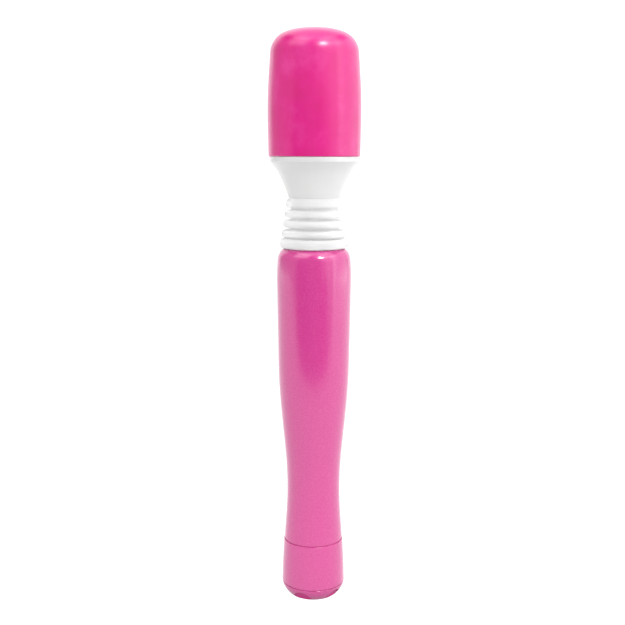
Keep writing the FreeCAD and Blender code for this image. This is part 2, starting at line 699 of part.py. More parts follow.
def lead_pieces():
    """The two leads from the handle through the neck spring to the motor's terminals."""
    neck = [
        ("lead_neck_offset", "(lower_boss_top + upper_boss_bottom) / 2"),
        ("lead_neck_offset * 1.02", "upper_seat + cup_floor"),
        ("lead_motor_offset", "cup_flare_height + lip_top - lip_bottom"),
        ("lead_motor_offset", "motor_bottom - terminal_thickness"),
    ]
    positive = [
        ("lead_hole_positive", "cell_start + 2 * cell_length + contact_wall"),
        ("lead_hole_positive", "lower_boss_top"),
    ]
    negative = [
        ("strip_inner - strip_outer / 100", "strip_top - lead_hole"),
        ("lead_hole_negative", "strip_top - lead_hole"),
        ("lead_hole_negative", "lower_boss_top"),
    ]
    return [lead("lead_positive", 1, positive + neck), lead("lead_negative", -1, negative + neck)]


def neck_pieces():
    """What flexes between handle and head."""
    spring = coil("neck_spring", "neck_spring_radius", "neck_spring_turns", "lower_seat + shaft_play",
                  "upper_seat - shaft_play", "neck_spring_wire")
    return [neck_bellows(), spring] + lead_pieces()


def head_cup():
    """The white cone: spring cup below, flare and lip outside, spigot for the head shell above."""
    return turned_piece("head_cup", [
        ("boss_radius", "cup_bottom"),
        ("cup_bottom_radius", "cup_bottom"),
        ("cup_throat_radius", "cup_throat_height", "cup_throat_round"),
        ("cup_flare_radius", "cup_flare_height", "cup_flare_round"),
        ("lip_radius", "lip_bottom", "lip_round"),
        ("lip_radius", "lip_top"),
        ("spigot_radius", "lip_top"),
        ("spigot_radius", "spigot_top"),
        ("spigot_bore", "spigot_top"),
        ("spigot_bore", "cup_inner_height"),
        ("cup_inner_radius", "upper_seat + cup_floor"),
        ("cup_hole", "upper_seat + cup_floor"),
        ("cup_hole", "upper_seat"),
        ("boss_bore", "upper_seat"),
        ("boss_bore", "upper_boss_bottom"),
        ("boss_radius", "upper_boss_bottom"),
    ])


def head_shell():
    """The hard core under the soft cap."""
    return turned_piece("head_shell", [
        ("shell_bore", "shell_bottom"),
        ("shell_radius", "shell_bottom"),
        ("shell_radius", "shell_top", "shell_round"),
        ("0", "shell_top"),
        ("0", "shell_top - shell_wall"),
        ("shell_bore", "shell_top - shell_wall", "shell_round - shell_wall"),
    ])


def head_cap():
    """The soft cap stretched over the head shell."""
    return turned_piece("head_cap", [
        ("shell_radius + soft_gap", "soft_bottom"),
        ("soft_bottom_radius", "soft_bottom", "soft_edge"),
        ("soft_belly_radius", "soft_belly_height", "soft_belly_round"),
        ("soft_shoulder_radius", "soft_shoulder_height", "soft_shoulder_round"),
        ("soft_crown_radius", "soft_crown_height", "soft_crown_round"),
        ("0", "soft_top"),
        ("0", "shell_top + soft_gap"),
        ("shell_radius + soft_gap", "shell_top + soft_gap", "shell_round + soft_gap"),
    ])


def flatted(name, radius, flats, bottom, length):
    """A round bar with two flats, facing -Y and +Y."""
    bar = cylinder(name + "_bar", radius, bottom, length)
    low = (f"-({radius})", f"-({flats}) / 2", bottom)
    band = block(name + "_band", low, (f"2 * ({radius})", flats, length))
    return gathered(name, [bar, band], "Part::MultiCommon")


def hollow_motor_case(label, bottom, top, wall, closed_top, hole):
    """One half of the motor's case: a flatted cup with a hole in its closed end."""
    outside = flatted(label + "_outside", "motor_radius", "motor_flats", bottom, f"{top} - ({bottom})")
    inner_bottom = bottom if closed_top else f"{bottom} + {wall}"
    inside = flatted(label + "_inside", f"motor_radius - {wall}", f"motor_flats - 2 * {wall}",
                     inner_bottom, f"{top} - ({bottom}) - {wall}")
    through = cylinder(label + "_hole", hole, bottom if closed_top else "rear_bush_bottom", f"{top} - {bottom}")
    return cut(label, outside, gathered(label + "_hollow", [inside, through]))


def motor_magnets():
    """Two curved magnets against the can's round sides."""
    arcs = []
    for i in range(2):
        outer = cylinder(f"magnet_outer_{i}", "motor_radius - can_wall - motor_play", "magnet_bottom",
                         "magnet_length", "magnet_angle")
        inner = cylinder(f"magnet_inner_{i}", "magnet_inner", "magnet_bottom", "magnet_length")
        turn = 180 * i - number("magnet_angle") / 2
        outer.Placement.Rotation = FreeCAD.Rotation(V(0, 0, 1), turn)
        arcs.append(cut(f"magnet_{i}", outer, inner))
    keep = block("magnet_band", ("-motor_radius", "can_wall - motor_flats / 2 + motor_play", "magnet_bottom"),
                 ("2 * motor_radius", "motor_flats - 2 * can_wall - 2 * motor_play", "magnet_length"))
    return gathered("motor_magnets", [gathered("magnet_pair", arcs), keep], "Part::MultiCommon")


def mirrored_blocks(label, offset, thickness, width, bottom, top):
    """Two equal blocks, one each side of the axis along X."""
    sides = []
    for name, low in (("right", offset), ("left", f"-({offset}) - {thickness}")):
        corner = (low, f"-{width} / 2", bottom)
        sides.append(block(f"{label}_{name}", corner, (thickness, width, f"({top}) - ({bottom})")))
    return gathered(label, sides)


def motor_contacts():
    """The brass tabs under the end bell, and the brush leaves that stand beside the commutator."""
    tabs = mirrored_blocks("motor_terminals", "terminal_offset", "terminal_thickness", "terminal_width",
                           "motor_bottom - terminal_length", "motor_bottom")
    brushes = mirrored_blocks("motor_brushes", "commutator_radius + brush_gap", "brush_thickness",
                              "brush_width", "motor_bottom + bell_wall", "brush_top")
    return [tabs, brushes]


def spokes(name, inner, outer, width, bottom, length):
    """Equal radial blocks between the armature's poles."""
    made = []
    for i in range(int(number("pole_count"))):
        angle = math.radians(360 * i / number("pole_count"))
        spoke = doc.addObject("Part::Box", f"{name}_{i}")
        bind(spoke, Length=f"{outer} - {inner}", Width=width, Height=length)
        across = number(width) / 2
        base = V(number(inner) * math.cos(angle) + across * math.sin(angle),
                 number(inner) * math.sin(angle) - across * math.cos(angle), number(bottom))
        spoke.Placement = FreeCAD.Placement(base, FreeCAD.Rotation(V(0, 0, 1), math.degrees(angle)))
        made.append(spoke)
    return gathered(name, made)


def armature():
    """The slotted iron core and the windings in its slots."""
    core = turned_piece("core_stack", ring("motor_shaft_radius", "core_radius", "core_bottom",
                                           "core_bottom + core_length"))
    slots = spokes("winding_slots", "slot_floor", "core_radius + slot_floor", "slot_width", "core_bottom",
                   "core_length")
    windings = spokes("motor_windings", "winding_inner", "winding_outer", "winding_width",
                      "core_bottom - winding_overhang", "core_length + 2 * winding_overhang")
    return [cut("motor_armature", core, slots), windings]


def rotor_pieces():
    """What the motor turns."""
    shaft = turned_piece("motor_shaft", ring("0", "motor_shaft_radius", "motor_shaft_bottom",
                                             "motor_shaft_top"))
    commutator_top = "commutator_bottom + commutator_length"
    commutator = turned_piece("motor_commutator", ring("motor_shaft_radius", "commutator_radius",
                                                       "commutator_bottom", commutator_top))
    weight_top = "weight_bottom + weight_length"
    weight = turned_piece("eccentric_weight", ring("motor_shaft_radius", "weight_radius", "weight_bottom",
                                                   weight_top), "180")
    turned(weight, "weight_hub_ring", ring("motor_shaft_radius", "weight_hub", "weight_bottom", weight_top))
    return [shaft, commutator, weight] + armature()


def head_pieces():
    """What stays with the head."""
    bush = turned_piece("motor_bushing", ring("motor_shaft_radius + motor_play", "bushing_radius",
                                              "bushing_top - bushing_length", "bushing_top"))
    can = hollow_motor_case("motor_can", "bell_top", "motor_top", "can_wall", True, "bushing_radius")
    bell = hollow_motor_case("motor_end_bell", "motor_bottom", "bell_top", "bell_wall", False,
                             "motor_shaft_radius + motor_play")
    sleeve = cylinder("mount_sleeve", "mount_radius", "mount_bottom", "mount_length")
    hollow = flatted("mount_hollow", "motor_radius + mount_gap", "motor_flats + 2 * mount_gap", "mount_bottom",
                     "mount_length")
    mount = cut("motor_mount", sleeve, hollow)
    housings = [head_cup(), head_shell(), head_cap()]
    return housings + [can, bell, bush, mount, motor_magnets()] + motor_contacts()


def write_parts(pieces):
    """Checks every object of the document and every piece, then writes each piece to its own STEP file."""
    doc.recompute()
    for thing in doc.Objects:
        assert not {"Invalid", "Error"} & set(thing.State), f"{thing.Label} failed: {thing.State}"
    os.makedirs("parts", exist_ok=True)
    for piece in pieces:
        shape = piece.Shape
        assert not shape.isNull() and shape.isValid() and shape.Solids, f"{piece.Label} has no valid solid"
        shape.exportStep(f"parts/{piece.Label}.step")
        print(f"{piece.Label}: {len(shape.Solids)} solid(s), {shape.Volume:.1f} mm3")


write_parts(handle_pieces() + neck_pieces() + head_pieces() + rotor_pieces() + [seal_ring()] + cap_pieces()
            + dial_pieces())
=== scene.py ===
"""Looks of the handheld wand massager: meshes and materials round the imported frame. Metres, +Z up."""

import json
import math

import bmesh
import bpy
import numpy as np
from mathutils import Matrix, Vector


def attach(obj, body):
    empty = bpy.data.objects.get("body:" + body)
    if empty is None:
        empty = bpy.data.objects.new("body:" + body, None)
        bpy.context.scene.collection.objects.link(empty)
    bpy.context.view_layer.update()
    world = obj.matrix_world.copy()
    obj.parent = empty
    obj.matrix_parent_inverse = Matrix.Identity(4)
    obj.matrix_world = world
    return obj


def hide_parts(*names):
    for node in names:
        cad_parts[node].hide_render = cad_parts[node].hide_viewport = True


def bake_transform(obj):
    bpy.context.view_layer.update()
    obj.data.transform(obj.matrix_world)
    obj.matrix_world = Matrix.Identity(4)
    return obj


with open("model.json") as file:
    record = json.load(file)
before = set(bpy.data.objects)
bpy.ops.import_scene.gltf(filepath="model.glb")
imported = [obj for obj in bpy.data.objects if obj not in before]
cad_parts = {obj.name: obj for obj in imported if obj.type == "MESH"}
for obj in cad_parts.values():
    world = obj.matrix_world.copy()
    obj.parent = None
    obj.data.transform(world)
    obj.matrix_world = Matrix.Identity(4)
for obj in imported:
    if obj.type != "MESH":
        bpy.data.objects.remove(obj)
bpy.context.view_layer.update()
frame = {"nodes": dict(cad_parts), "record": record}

MM = 0.001
TURN = 2 * math.pi
SEGMENTS = 192
ARC_STEP = math.radians(7)
RUN_STEP = 1.5 * MM
SHARP_EDGE = math.radians(38)
RIDGE_STEPS = 96
RIDGE_RUN_OUT = 10
RIDGE_SINK = 0.15


# ---------------------------------------------------------------- outlines and turned meshes

def rounded(corners, run_step=RUN_STEP, closed=True):
    """Points of an outline through corners in mm, (r, z) sharp or (r, z, radius) rounded, in metres."""
    spots = [Vector(c[:2]) * MM for c in corners]
    count = len(spots)
    points = []
    for i, corner in enumerate(corners):
        if len(corner) == 2:
            points.append(spots[i])
            continue
        radius = corner[2] * MM
        into = (spots[i - 1] - spots[i]).normalized()
        out = (spots[(i + 1) % count] - spots[i]).normalized()
        half = into.angle(out) / 2
        first = spots[i] + into * radius / math.tan(half)
        last = spots[i] + out * radius / math.tan(half)
        centre = spots[i] + (into + out).normalized() * radius / math.sin(half)
        sweep = math.pi - 2 * half
        steps = max(4, math.ceil(sweep / ARC_STEP), math.ceil(sweep * radius / run_step))
        side = 1 if into.cross(out) < 0 else -1
        for k in range(steps + 1):
            turn = side * sweep * k / steps
            arm = first - centre
            cos, sin = math.cos(turn), math.sin(turn)
            points.append(centre + Vector((arm.x * cos - arm.y * sin, arm.x * sin + arm.y * cos)))
    return divided(points, run_step, closed)


def divided(points, run_step, closed):
    """The same outline with its long runs cut into equal steps."""
    ends = points[1:] + points[:1] if closed else points[1:]
    fine = []
    for start, end in zip(points, ends):
        steps = max(1, math.ceil((end - start).length / run_step))
        fine += [start.lerp(end, k / steps) for k in range(steps)]
    if not closed:
        fine.append(points[-1])
    return fine


def link_mesh(name, bm):
    """A smooth-shaded object from a bmesh, with its sharp edges kept sharp."""
    bmesh.ops.remove_doubles(bm, verts=bm.verts, dist=1e-7)
    bmesh.ops.recalc_face_normals(bm, faces=bm.faces)
    mesh = bpy.data.meshes.new(name)
    bm.to_mesh(mesh)
    bm.free()
    mesh.polygons.foreach_set("use_smooth", [True] * len(mesh.polygons))
    mesh.set_sharp_from_angle(angle=SHARP_EDGE)
    piece = bpy.data.objects.new(name, mesh)
    bpy.context.scene.collection.objects.link(piece)
    return piece


def add_turned(bm, outline, shape=None):
    """Adds the surface that a closed outline sweeps about Z. shape(r, z, angle) may move a point."""
    rings = []
    for point in outline:
        r, z = point
        ring = []
        for k in range(SEGMENTS):
            angle = TURN * k / SEGMENTS
            rr, zz = shape(r, z, angle) if shape and r > 0 else (r, z)
            ring.append(bm.verts.new((rr * math.cos(angle), rr * math.sin(angle), zz)))
        rings.append(ring)
    for low, high in zip(rings, rings[1:] + rings[:1]):
        for k in range(SEGMENTS):
            after = (k + 1) % SEGMENTS
            bm.faces.new((low[k], low[after], high[after], high[k]))


def turned(name, outline, shape=None):
    """A turned object. Points on the axis are welded to one."""
    bm = bmesh.new()
    add_turned(bm, outline, shape)
    bmesh.ops.remove_doubles(bm, verts=bm.verts, dist=1e-7)
    bmesh.ops.dissolve_degenerate(bm, edges=bm.edges, dist=1e-8)
    return link_mesh(name, bm)


def add_tube(bm, centres, radius, around=16):
    """Adds a round capped tube along centre points, with a frame carried along it."""
    side = None
    rings = []
    for i, centre in enumerate(centres):
        ahead = (centres[min(i + 1, len(centres) - 1)] - centres[max(i - 1, 0)]).normalized()
        if side is None:
            side = ahead.orthogonal().normalized()
        side = (side - ahead * side.dot(ahead)).normalized()
        up = ahead.cross(side)
        ring = []
        for k in range(around):
            angle = TURN * k / around
            ring.append(bm.verts.new(centre + (side * math.cos(angle) + up * math.sin(angle)) * radius))
        rings.append(ring)
    for low, high in zip(rings, rings[1:]):
        for k in range(around):
            after = (k + 1) % around
            bm.faces.new((low[k], low[after], high[after], high[k]))
    bm.faces.new(list(reversed(rings[0])))
    bm.faces.new(rings[-1])


def add_ridge(bm, wall, crest, start, pitch, turns, root_width, crest_width):
    """Adds a helical thread ridge in mm, its root sunk into the wall and its ends run out into it."""
    steps = int(RIDGE_STEPS * turns)
    sink = RIDGE_SINK if crest > wall else -RIDGE_SINK
    rings = []
    for k in range(steps + 1):
        share = k / steps
        angle = TURN * turns * share
        run_out = min(1.0, share * steps / RIDGE_RUN_OUT, (1 - share) * steps / RIDGE_RUN_OUT)
        tip = wall - sink / 3 + (crest - wall + sink / 3) * run_out
        z = start + pitch * turns * share
        section = [(wall - sink, -root_width / 2), (tip, -crest_width / 2), (tip, crest_width / 2),
                   (wall - sink, root_width / 2)]
        rings.append([bm.verts.new((r * MM * math.cos(angle), r * MM * math.sin(angle), (z + dz) * MM))
                      for r, dz in section])
    for low, high in zip(rings, rings[1:]):
        for k in range(4):
            after = (k + 1) % 4
            bm.faces.new((low[k], low[after], high[after], high[k]))
    bm.faces.new(list(reversed(rings[0])))
    bm.faces.new(rings[-1])


def dress(piece, material, slot, *nodes):
    """Gives a new piece its material and hides the CAD nodes that it stands for; slot is not used."""
    piece.data.materials.clear()
    piece.data.materials.append(material)
    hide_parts(*nodes)
    return piece


# ---------------------------------------------------------------- materials

class Maker:
    """A material under construction: its nodes, its links and its main shader."""

    def __init__(self, name, **sockets):
        self.material = bpy.data.materials.new(name)
        self.material.use_nodes = True
        self.tree = self.material.node_tree
        self.shader = self.tree.nodes["Principled BSDF"]
        for socket, value in sockets.items():
            self.shader.inputs[socket.replace("_", " ")].default_value = value
        self.place = self.tree.nodes.new("ShaderNodeTexCoord").outputs["Object"]

    def noise(self, per_mm, detail=3.0, roughness=0.5, stretch=None):
        """A noise value that varies this many times per millimetre."""
        made = self.tree.nodes.new("ShaderNodeTexNoise")
        made.inputs["Scale"].default_value = per_mm / MM
        made.inputs["Detail"].default_value = detail
        made.inputs["Roughness"].default_value = roughness
        vector = self.place
        if stretch:
            mapping = self.tree.nodes.new("ShaderNodeMapping")
            mapping.inputs["Scale"].default_value = stretch
            self.tree.links.new(vector, mapping.inputs["Vector"])
            vector = mapping.outputs["Vector"]
        self.tree.links.new(vector, made.inputs["Vector"])
        return made.outputs["Fac"]

    def flakes(self, per_mm):
        """A random value for each small cell, as mica flakes in a pearl paint."""
        made = self.tree.nodes.new("ShaderNodeTexVoronoi")
        made.inputs["Scale"].default_value = per_mm / MM
        self.tree.links.new(self.place, made.inputs["Vector"])
        grey = self.tree.nodes.new("ShaderNodeSeparateColor")
        self.tree.links.new(made.outputs["Color"], grey.inputs["Color"])
        return grey.outputs["Red"]

    def ramp(self, value, stops):
        """A colour ramp over a value: stops are (place, colour)."""
        made = self.tree.nodes.new("ShaderNodeValToRGB")
        made.color_ramp.elements[0].position, made.color_ramp.elements[0].color = stops[0]
        made.color_ramp.elements[1].position, made.color_ramp.elements[1].color = stops[-1]
        for place, colour in stops[1:-1]:
            made.color_ramp.elements.new(place).color = colour
        self.tree.links.new(value, made.inputs["Fac"])
        return made.outputs["Color"]

    def remap(self, value, low, high, start=0.3, end=0.7):
        """A value from start to end moved to the range low to high."""
        made = self.tree.nodes.new("ShaderNodeMapRange")
        for socket, number in (("From Min", start), ("From Max", end), ("To Min", low), ("To Max", high)):
            made.inputs[socket].default_value = number
        self.tree.links.new(value, made.inputs["Value"])
        return made.outputs["Result"]

    def blend_by_mark(self, colour, mark, other):
        """A colour that turns into another where the mesh carries this mark."""
        share = self.tree.nodes.new("ShaderNodeAttribute")
        share.attribute_name = mark
        mix = self.tree.nodes.new("ShaderNodeMixRGB")
        self.tree.links.new(share.outputs["Fac"], mix.inputs["Fac"])
        self.tree.links.new(colour, mix.inputs["Color1"])
        mix.inputs["Color2"].default_value = other
        return mix.outputs["Color"]

    def feed(self, socket, value):
        self.tree.links.new(value, self.shader.inputs[socket])

    def bump(self, value, height_mm, strength=1.0):
        """Bumps the surface by a value, this many millimetres high."""
        made = self.tree.nodes.new("ShaderNodeBump")
        made.inputs["Distance"].default_value = height_mm * MM
        made.inputs["Strength"].default_value = strength
        self.tree.links.new(value, made.inputs["Height"])
        if self.shader.inputs["Normal"].links:
            self.tree.links.new(self.shader.inputs["Normal"].links[0].from_socket, made.inputs["Normal"])
        self.tree.links.new(made.outputs["Normal"], self.shader.inputs["Normal"])


def rgb(red, green, blue):
    return (red, green, blue, 1.0)


def pearl_paint():
    """Glossy pink paint with fine mica under a clear coat, with painted shade: a deeper pink in the dial's
    scallops.
    """
    made = Maker("pearl_pink_paint", IOR=1.66, Coat_Weight=0.40, Coat_Roughness=0.12)
    flakes = made.flakes(5.0)
    tone = made.ramp(flakes, [(0.0, rgb(0.46, 0.030, 0.195)), (0.55, rgb(0.49, 0.035, 0.211)),
                              (1.0, rgb(0.53, 0.050, 0.240))])
    # Painted shade: where the dial's mesh carries the "hollow" mark, inside the scallops, the colour turns a
    # deeper pink to stand in for the shade there.
    made.feed("Base Color", made.blend_by_mark(tone, "hollow", rgb(0.52, 0.0, 0.185)))
    made.feed("Roughness", made.remap(made.noise(0.35), 0.19, 0.25))
    made.bump(made.flakes(4.0), 0.004, 0.35)
    made.bump(made.noise(0.6, 2.0), 0.006, 0.5)
    return made.material


def soft_cover():
    """Satin soft-touch elastomer, deep pink, with a fine moulded grain and faint cloudy marks."""
    made = Maker("soft_pink_cover", IOR=1.56, Coat_Weight=0.35, Coat_Roughness=0.24)
    cloud = made.noise(0.09, 4.0, 0.62)
    tone = made.ramp(cloud, [(0.3, rgb(0.525, 0.0, 0.150)), (0.5, rgb(0.56, 0.0, 0.176)),
                             (0.72, rgb(0.592, 0.020, 0.220))])
    made.feed("Base Color", tone)
    made.feed("Roughness", made.remap(made.noise(0.5, 3.0), 0.285, 0.34))
    made.bump(made.noise(3.0, 1.0, 0.5), 0.008, 0.3)
    made.bump(made.noise(0.2, 1.0), 0.03, 0.3)
    return made.material


def white_plastic():
    """Glossy white ABS."""
    made = Maker("white_plastic", IOR=1.72, Coat_Weight=0.70, Coat_Roughness=0.18)
    made.feed("Base Color", made.ramp(made.noise(0.2), [(0.3, rgb(0.560, 0.560, 0.558)),
                                                        (0.7, rgb(0.580, 0.580, 0.577))]))
    made.feed("Roughness", made.remap(made.noise(0.25, 2.0), 0.285, 0.315, 0.1, 0.9))
    return made.material


def milky_elastomer():
    """Cloudy, slightly see-through silicone."""
    made = Maker("milky_elastomer", IOR=1.22, Transmission_Weight=0.60)
    made.feed("Base Color", made.ramp(made.noise(0.35, 3.0), [(0.3, rgb(0.98, 0.98, 0.98)),
                                                              (0.7, rgb(1.0, 1.0, 1.0))]))
    made.feed("Roughness", made.remap(made.noise(0.8), 0.36, 0.46))
    made.bump(made.noise(1.2, 2.0), 0.012, 0.35)
    return made.material


def plain_plastic(name, light, dark, roughness=0.45):
    """Moulded plastic of the inner pieces."""
    made = Maker(name, IOR=1.5)
    made.feed("Base Color", made.ramp(made.noise(0.3), [(0.3, dark), (0.7, light)]))
    made.feed("Roughness", made.remap(made.noise(1.0), roughness - 0.05, roughness + 0.08))
    made.bump(made.noise(3.0, 2.0), 0.01, 0.4)
    return made.material


def metal(name, light, dark, roughness, stretch=(1, 1, 14)):
    """Drawn or turned metal with fine marks along one direction."""
    made = Maker(name, Metallic=1.0)
    marks = made.noise(1.6, 4.0, 0.6, stretch)
    made.feed("Base Color", made.ramp(marks, [(0.3, dark), (0.7, light)]))
    made.feed("Roughness", made.remap(marks, roughness - 0.06, roughness + 0.1))
    made.bump(marks, 0.004, 0.4)
    return made.material


PAINT = pearl_paint()
COVER = soft_cover()
WHITE = white_plastic()
MILKY = milky_elastomer()
STEEL = metal("brushed_steel", rgb(0.66, 0.66, 0.67), rgb(0.52, 0.52, 0.54), 0.28)
INNER = {
    "inner_plastic": plain_plastic("inner_plastic", rgb(0.78, 0.78, 0.75), rgb(0.70, 0.70, 0.68)),
    "black_rubber": plain_plastic("black_rubber", rgb(0.03, 0.03, 0.03), rgb(0.018, 0.018, 0.018), 0.6),
    "steel": STEEL,
    "contact_brass": metal("contact_brass", rgb(0.83, 0.62, 0.28), rgb(0.66, 0.46, 0.18), 0.25),
    "cell_jacket": metal("cell_jacket", rgb(0.20, 0.22, 0.26), rgb(0.14, 0.15, 0.18), 0.34),
    "copper_wire": metal("copper_wire", rgb(0.74, 0.31, 0.14), rgb(0.52, 0.19, 0.08), 0.3, (1, 1, 4)),
    "magnet": plain_plastic("magnet_ferrite", rgb(0.09, 0.09, 0.095), rgb(0.05, 0.05, 0.055), 0.5),
    "red_insulation": plain_plastic("red_insulation", rgb(0.55, 0.02, 0.015), rgb(0.42, 0.012, 0.01), 0.35),
    "black_insulation": plain_plastic("black_insulation", rgb(0.03, 0.03, 0.03),
                                      rgb(0.015, 0.015, 0.015), 0.38),
    "board": plain_plastic("board_laminate", rgb(0.03, 0.17, 0.06), rgb(0.02, 0.11, 0.04), 0.35),
    "white_shell": WHITE,
    "soft_pink": COVER,
    "pearl_pink": PAINT,
    "milky_elastomer": MILKY,
}


def dress_cad_nodes():
    """Every CAD node takes the procedural material of its slot."""
    slots = {item["node"]: item["material_slot"] for item in frame["record"]["subparts"]}
    for name, node in frame["nodes"].items():
        node.data.materials.clear()
        node.data.materials.append(INNER[slots[name]])


# ---------------------------------------------------------------- head

COVER_EDGE = 165.23
WAVE_REACH = 3.0


def wavy_edge(r, z, angle):
    """The soft cap's stretched lower edge runs slightly uneven."""
    near = max(0.0, 1 - (z / MM - COVER_EDGE) / WAVE_REACH)
    wave = 0.03 * math.sin(2 * angle + 0.6) + 0.02 * math.sin(3 * angle + 2.1) + 0.01 * math.sin(7 * angle)
    return r, z + max(0.0, wave) * near ** 2 * MM


def head_cover():
    """The soft cap: rounded crown, slightly barrelled side, small rolled lower edge."""
    outline = rounded([
        (14.4, COVER_EDGE), (16.5, COVER_EDGE, 0.35), (16.88, 184.8, 186), (15.45, 206.5, 7.9),
        (7.6, 209.62, 17.6), (0, 209.7), (0, 207.15), (14.4, 207.15, 5.55),
    ])
    return dress(turned("head_cover", outline, shape=wavy_edge), COVER, "soft_pink", "head_cap")


def neck_cone():
    """The white flared cone with its lip, spring cup and spigot."""
    outline = rounded([
        (7.15, 150.25), (9.24, 150.25, 0.3), (10.55, 154.15, 14.8), (13.42, 160.5, 14.9),
        (16.25, 163.45, 0.55), (16.25, 165.2, 0.25), (12.75, 165.2), (12.75, 170.0), (11.4, 170.0),
        (11.4, 161.5), (8.3, 154.4), (4.5, 154.4), (4.5, 153.1), (6.35, 153.1), (6.35, 147.0), (7.15, 147.0),
    ])
    return dress(turned("neck_cone", outline), WHITE, "white_shell", "head_cup")


# ---------------------------------------------------------------- neck

NECK_SPLIT = 141.3


def bellows_outline():
    """The sleeve: a foot rib over the handle's mouth and four round ribs, the last closing on the cone."""
    valley, thick, tip = 8.55, 2.6, 1.24
    outer = [(11.3, 132.42), (12.44, 132.42, 1.05), (12.44, 135.9, 1.4), (valley, 136.0, 0.2)]
    ribs = [(11.84, 137.65), (11.34, 141.2), (10.85, 144.75), (10.35, 148.3)]
    for radius, middle in ribs:
        low, high = middle - thick / 2, middle + thick / 2
        outer += [(valley, low - 0.1, 0.25), (radius, low, tip),
                  (radius, high, tip), (valley, high + 0.1, 0.25)]
    outer[-1] = (9.45, 150.15, 0.5)
    return outer + [(9.3, 150.5), (7.35, 150.5), (7.35, 133.3), (11.3, 133.3)]


def split_parts(name, whole, split):
    """Cuts a mesh at a height into a lower and an upper object, each left open at the cut."""
    parts = []
    for suffix, keep_low in (("lower", True), ("upper", False)):
        bm = bmesh.new()
        bm.from_mesh(whole.data)
        geometry = bm.verts[:] + bm.edges[:] + bm.faces[:]
        bmesh.ops.bisect_plane(bm, geom=geometry, plane_co=(0, 0, split * MM), plane_no=(0, 0, 1),
                               clear_outer=keep_low, clear_inner=not keep_low)
        mesh = bpy.data.meshes.new(f"{name}_{suffix}")
        bm.to_mesh(mesh)
        bm.free()
        mesh.polygons.foreach_set("use_smooth", [True] * len(mesh.polygons))
        piece = bpy.data.objects.new(f"{name}_{suffix}", mesh)
        bpy.context.scene.collection.objects.link(piece)
        parts.append(piece)
    bpy.data.objects.remove(whole)
    return parts


def bend_halves(parts, material, slot, node):
    """Gives both halves their material, hides the CAD node and bakes each half's placement into its mesh."""
    lower, upper = parts
    for piece in parts:
        dress(piece, material, slot, node)
    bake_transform(lower)
    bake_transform(upper)


def neck_sleeve():
    """The bellows."""
    whole = turned("bellows", rounded(bellows_outline(), run_step=0.6 * MM))
    bend_halves(split_parts("bellows", whole, NECK_SPLIT), MILKY, "milky_elastomer", "neck_bellows")


def neck_coil():
    """The coil spring inside the bellows."""
    low, high, turns, wire, radius = 131.85, 152.35, 8, 0.7, 5.5
    steps = 48 * turns
    centres = []
    for k in range(steps + 1):
        angle = TURN * turns * k / steps
        height = low + (high - low) * k / steps
        centres.append(Vector((radius * math.cos(angle), radius * math.sin(angle), height)) * MM)
    bm = bmesh.new()
    add_tube(bm, centres, wire * MM)
    bend_halves(split_parts("spring", link_mesh("spring", bm), NECK_SPLIT), STEEL, "steel", "neck_spring")


LEAD_RADIUS = 0.55
LEAD_ROUTES = {
    "lead_positive": (1, "red_insulation", [(1.4, 128.3), (1.4, 135.6)]),
    "lead_negative": (-1, "black_insulation", [(7.85, 128.65), (3.9, 128.65), (3.9, 135.6)]),
}
LEAD_ABOVE = [(2.4, 141.3), (2.45, 154.4), (6.3, 162.25), (6.3, 170.1)]


def lead(name, side, points):
    """One insulated lead along smoothed points (across, up) in mm."""
    curve = bpy.data.curves.new(name + "_route", "CURVE")
    curve.dimensions = "3D"
    spline = curve.splines.new("NURBS")
    spline.points.add(len(points) - 1)
    for target, (across, up) in zip(spline.points, points):
        target.co = (side * across * MM, 0, up * MM, 1)
    spline.order_u = 3
    spline.use_endpoint_u = True
    spline.resolution_u = 16
    curve.bevel_depth = LEAD_RADIUS * MM
    curve.use_fill_caps = True
    holder = bpy.data.objects.new(name + "_route", curve)
    bpy.context.scene.collection.objects.link(holder)
    mesh = bpy.data.meshes.new_from_object(holder.evaluated_get(bpy.context.evaluated_depsgraph_get()))
    bpy.data.objects.remove(holder)
    return bpy.data.objects.new(name + "_whole", mesh)


def neck_leads():
    """The two leads that cross the neck."""
    for node, (side, slot, below) in LEAD_ROUTES.items():
        whole = lead(node, side, below + LEAD_ABOVE)
        bend_halves(split_parts(node, whole, NECK_SPLIT), INNER[slot], slot, node)


# ---------------------------------------------------------------- handle and end cap

THREAD = {"pitch": 2.5, "turns": 2, "root_width": 1.1, "crest_width": 0.7}


def handle_body():
    """The hourglass handle, rounded at the shoulder and at the parting groove, with its inner thread."""
    outline = rounded([
        (9.4, 21.95), (10.95, 21.95, 0.2), (9.39, 44.0, 146.5), (12.99, 80.7, 236), (13.69, 124.0, 93),
        (13.14, 131.0, 5.2), (10.95, 132.4), (10.2, 132.4), (10.2, 100.0), (8.3, 56.0), (8.3, 30.5),
        (9.4, 29.4),
    ])
    bm = bmesh.new()
    add_turned(bm, outline)
    add_ridge(bm, 9.4, 8.68, 24.65, **THREAD)
    piece = link_mesh("handle_body", bm)
    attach(piece, "handle")
    return dress(piece, PAINT, "pearl_pink", "handle_shell")


def end_cap_body():
    """The painted end cap, with a low lip behind each parting groove."""
    outline = rounded([
        (3.1, 4.95), (10.6, 4.95), (10.6, 4.75), (11.5, 4.75), (11.5, 4.95), (11.85, 4.95, 0.2),
        (11.62, 12.5, 92), (11.12, 21.65, 0.2), (10.72, 21.65), (10.72, 21.92), (9.5, 21.92),
        (9.5, 6.5), (3.1, 6.5),
    ])
    piece = turned("end_cap_body", outline)
    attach(piece, "end_cap")
    return dress(piece, PAINT, "pearl_pink", "cap_shell")


